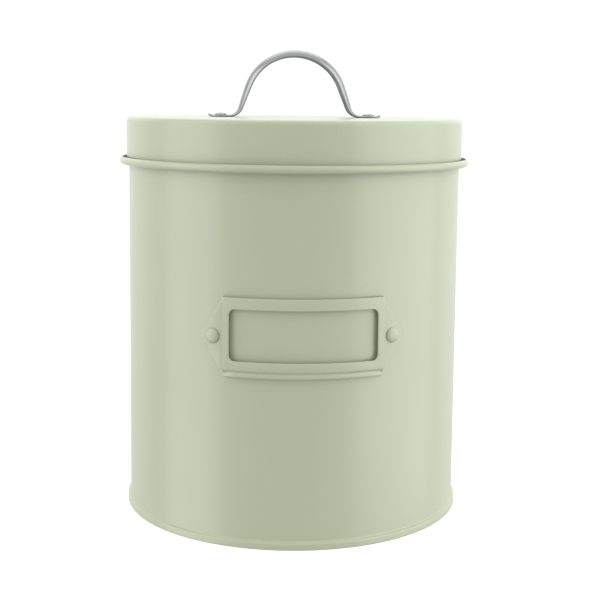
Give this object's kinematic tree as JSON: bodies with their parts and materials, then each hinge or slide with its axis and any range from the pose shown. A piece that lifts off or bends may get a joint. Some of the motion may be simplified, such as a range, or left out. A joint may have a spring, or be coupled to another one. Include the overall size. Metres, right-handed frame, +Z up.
{
  "type": "pet food bin",
  "caption": "Round painted sheet-metal food bin with a slip-over lid, an arched strap handle and a riveted label frame on the front.",
  "frame": {"origin": "centre of the underside, on the floor the bin stands on", "axes": "+Z up; -Y is the front, with the label frame; +X runs along the handle"},
  "size_m": [0.211, 0.211, 0.2753],
  "materials": {
    "sage_paint": "satin powder coat",
    "handle_steel": "satin"
  },
  "bodies": {
    "bin": {"body_shell": "sage_paint", "body_base": "sage_paint", "label_frame": "sage_paint", "label_rivet_left": "sage_paint", "label_rivet_right": "sage_paint"},
    "lid": {"lid_shell": "sage_paint", "handle_strap": "handle_steel", "handle_rivet_left": "handle_steel", "handle_rivet_right": "handle_steel"}
  },
  "joints": [
    {"name": "lid_lift", "type": "slide", "parent": "bin", "child": "lid", "axis": [0, 0, 1], "range_m": [0, 0.15]}
  ]
}
